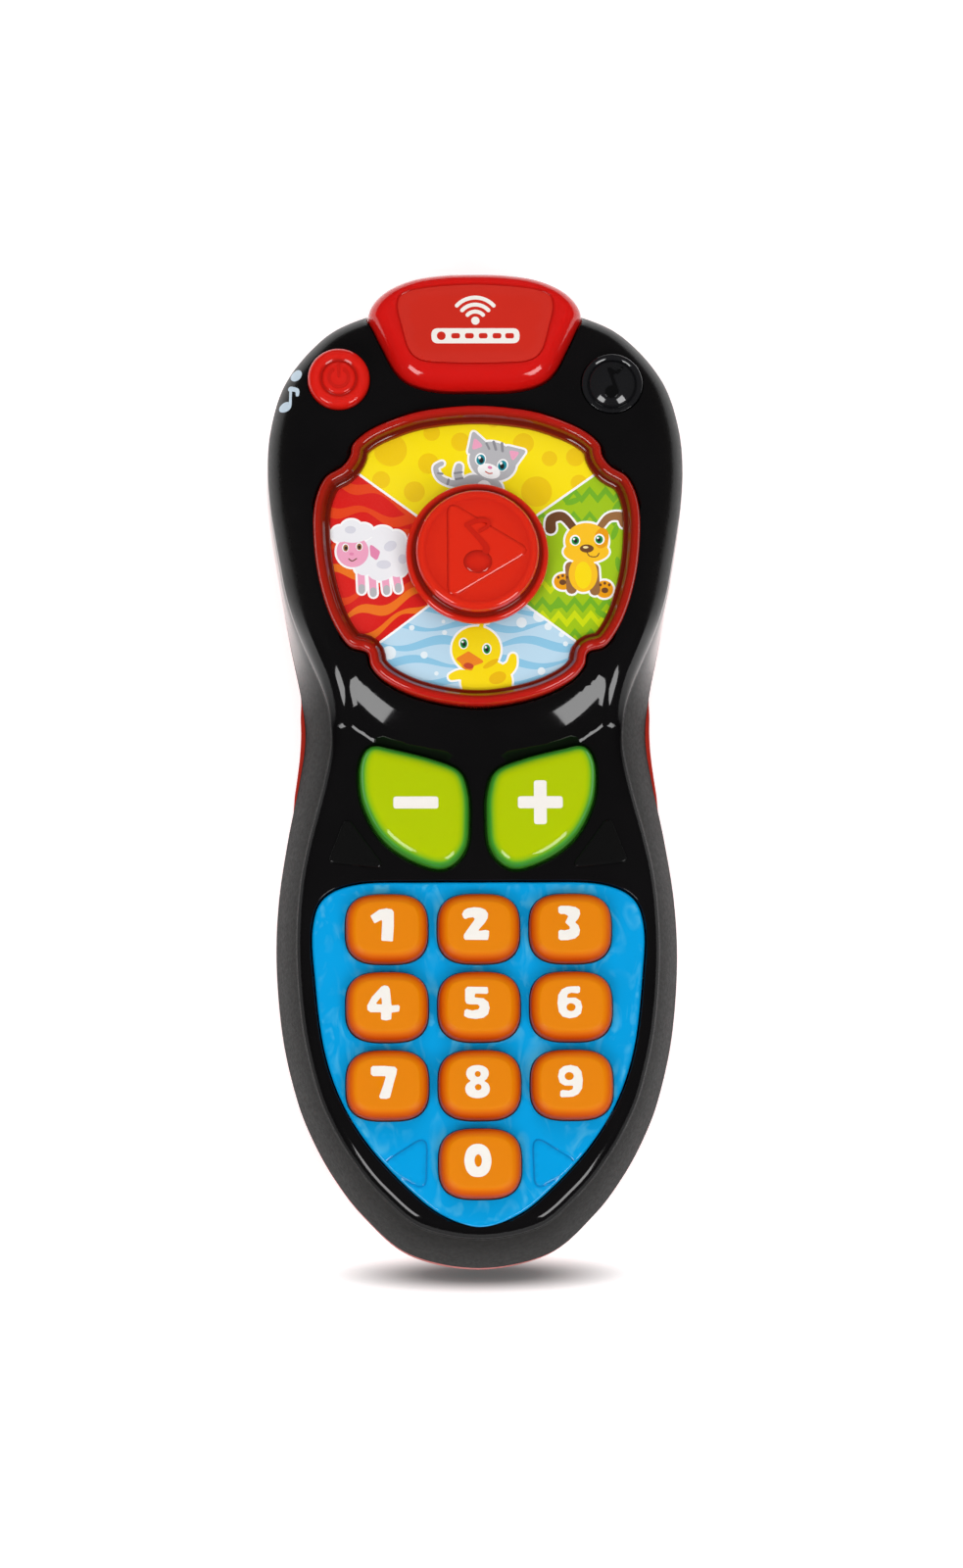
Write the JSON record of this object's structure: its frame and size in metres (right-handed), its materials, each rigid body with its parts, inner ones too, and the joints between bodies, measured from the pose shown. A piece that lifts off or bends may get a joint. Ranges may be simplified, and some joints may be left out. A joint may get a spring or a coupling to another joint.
{
  "type": "toy cell phone",
  "caption": "Waisted handset toy phone with a domed picture dial and round middle button, number keypad, green plus and minus keys, shoulder buttons and a red lens cap.",
  "frame": {"origin": "centre of the bounding box at the flat of the back, z = 0 where the toy lies on its back", "axes": "+Z out of the key face, +Y along the handset towards the lens cap, +X to the right when the keys face the viewer"},
  "size_m": [0.076, 0.18, 0.0386],
  "materials": {
    "shell_black": "high gloss face with fine matte sides",
    "shell_red": "satin",
    "door_red": "satin with fine ribs inside",
    "steel": "zinc plated",
    "panel_blue": "high gloss",
    "key_orange": "satin",
    "key_green": "gloss",
    "bezel_red": "translucent, polished",
    "plate_white": "moulded",
    "label": "printed and laminated",
    "button_red": "translucent, polished",
    "power_red": "gloss",
    "button_black": "gloss",
    "cap_red": "translucent, polished",
    "badge_red": "satin",
    "reflector": "gloss",
    "silicone": "translucent matte",
    "pcb_green": "solder mask",
    "epoxy": "gloss",
    "cap_blue": "sleeve",
    "chip": "matte",
    "led_red": "diffused",
    "speaker_steel": "pressed",
    "magnet": "ferrite",
    "cone": "matte",
    "switch_steel": "pressed",
    "knob_black": "matte",
    "cell_blue": "printed sleeve",
    "contact": "nickel plated",
    "lead_red": "insulation",
    "lead_black": "insulation",
    "link": "tinned"
  },
  "bodies": {
    "casing": {"back_shell": "shell_red", "front_shell": "shell_black", "case_screws": "steel", "keypad_panel": "panel_blue", "dial_bezel": "bezel_red", "picture_plate": "plate_white", "picture_label": "label", "lens_cap": "cap_red", "lens_badge": "badge_red", "lens_reflector": "reflector", "key_membrane": "silicone", "button_membrane": "silicone", "key_pcb": "pcb_green", "main_pcb": "pcb_green", "pcb_screws": "steel", "chip_blob": "epoxy", "capacitor": "cap_blue", "resistors": "chip", "middle_led": "led_red", "lens_led": "led_red", "speaker_frame": "speaker_steel", "speaker_magnet": "magnet", "speaker_cone": "cone", "slide_switch_body": "switch_steel", "battery_1": "cell_blue", "battery_2": "cell_blue", "battery_springs": "contact", "battery_contacts": "contact", "battery_leads": "lead_red", "speaker_leads": "lead_black", "board_link": "link"},
    "key_0": {"key_0": "key_orange"},
    "key_1": {"key_1": "key_orange"},
    "key_2": {"key_2": "key_orange"},
    "key_3": {"key_3": "key_orange"},
    "key_4": {"key_4": "key_orange"},
    "key_5": {"key_5": "key_orange"},
    "key_6": {"key_6": "key_orange"},
    "key_7": {"key_7": "key_orange"},
    "key_8": {"key_8": "key_orange"},
    "key_9": {"key_9": "key_orange"},
    "minus_key": {"minus_key": "key_green"},
    "plus_key": {"plus_key": "key_green"},
    "middle_button": {"middle_button": "button_red"},
    "power_button": {"power_button": "power_red"},
    "music_button": {"music_button": "button_black"},
    "door": {"battery_door": "door_red"},
    "door_screw": {"battery_door_screw": "steel"},
    "knob": {"switch_knob": "knob_black"}
  },
  "joints": [
    {"name": "press_0", "type": "slide", "parent": "casing", "child": "key_0", "axis": [0, 0, -1], "range_m": [0, 0.0012], "stiffness_N_per_m": 600, "springref_m": -0.0004, "deforming": ["key_membrane"]},
    {"name": "press_1", "type": "slide", "parent": "casing", "child": "key_1", "axis": [0, 0, -1], "range_m": [0, 0.0012], "stiffness_N_per_m": 600, "springref_m": -0.0004, "deforming": ["key_membrane"]},
    {"name": "press_2", "type": "slide", "parent": "casing", "child": "key_2", "axis": [0, 0, -1], "range_m": [0, 0.0012], "stiffness_N_per_m": 600, "springref_m": -0.0004, "deforming": ["key_membrane"]},
    {"name": "press_3", "type": "slide", "parent": "casing", "child": "key_3", "axis": [0, 0, -1], "range_m": [0, 0.0012], "stiffness_N_per_m": 600, "springref_m": -0.0004, "deforming": ["key_membrane"]},
    {"name": "press_4", "type": "slide", "parent": "casing", "child": "key_4", "axis": [0, 0, -1], "range_m": [0, 0.0012], "stiffness_N_per_m": 600, "springref_m": -0.0004, "deforming": ["key_membrane"]},
    {"name": "press_5", "type": "slide", "parent": "casing", "child": "key_5", "axis": [0, 0, -1], "range_m": [0, 0.0012], "stiffness_N_per_m": 600, "springref_m": -0.0004, "deforming": ["key_membrane"]},
    {"name": "press_6", "type": "slide", "parent": "casing", "child": "key_6", "axis": [0, 0, -1], "range_m": [0, 0.0012], "stiffness_N_per_m": 600, "springref_m": -0.0004, "deforming": ["key_membrane"]},
    {"name": "press_7", "type": "slide", "parent": "casing", "child": "key_7", "axis": [0, 0, -1], "range_m": [0, 0.0012], "stiffness_N_per_m": 600, "springref_m": -0.0004, "deforming": ["key_membrane"]},
    {"name": "press_8", "type": "slide", "parent": "casing", "child": "key_8", "axis": [0, 0, -1], "range_m": [0, 0.0012], "stiffness_N_per_m": 600, "springref_m": -0.0004, "deforming": ["key_membrane"]},
    {"name": "press_9", "type": "slide", "parent": "casing", "child": "key_9", "axis": [0, 0, -1], "range_m": [0, 0.0012], "stiffness_N_per_m": 600, "springref_m": -0.0004, "deforming": ["key_membrane"]},
    {"name": "press_minus", "type": "slide", "parent": "casing", "child": "minus_key", "axis": [0, 0, -1], "range_m": [0, 0.0012], "stiffness_N_per_m": 600, "springref_m": -0.0004, "deforming": ["key_membrane"]},
    {"name": "press_plus", "type": "slide", "parent": "casing", "child": "plus_key", "axis": [0, 0, -1], "range_m": [0, 0.0012], "stiffness_N_per_m": 600, "springref_m": -0.0004, "deforming": ["key_membrane"]},
    {"name": "press_middle", "type": "slide", "parent": "casing", "child": "middle_button", "axis": [0, 0, -1], "range_m": [0, 0.0012], "stiffness_N_per_m": 900, "springref_m": -0.0004, "deforming": ["button_membrane"]},
    {"name": "press_power", "type": "slide", "parent": "casing", "child": "power_button", "axis": [0, 0, -1], "range_m": [0, 0.0012], "stiffness_N_per_m": 600, "springref_m": -0.0004, "deforming": ["button_membrane"]},
    {"name": "press_music", "type": "slide", "parent": "casing", "child": "music_button", "axis": [0, 0, -1], "range_m": [0, 0.0012], "stiffness_N_per_m": 600, "springref_m": -0.0004, "deforming": ["button_membrane"]},
    {"name": "switch_slide", "type": "slide", "parent": "casing", "child": "knob", "axis": [0.4368, 0.8996, 0], "range_m": [-0.0038, 0]},
    {"name": "door_swing", "type": "hinge", "parent": "casing", "child": "door", "pos_m": [0, -0.009, 0.0002], "axis": [1, 0, 0], "range_deg": [0, 60]},
    {"name": "door_screw_turn", "type": "hinge", "parent": "door", "child": "door_screw", "pos_m": [0, -0.0608, 0.001], "axis": [0, 0, 1], "continuous": true}
  ]
}
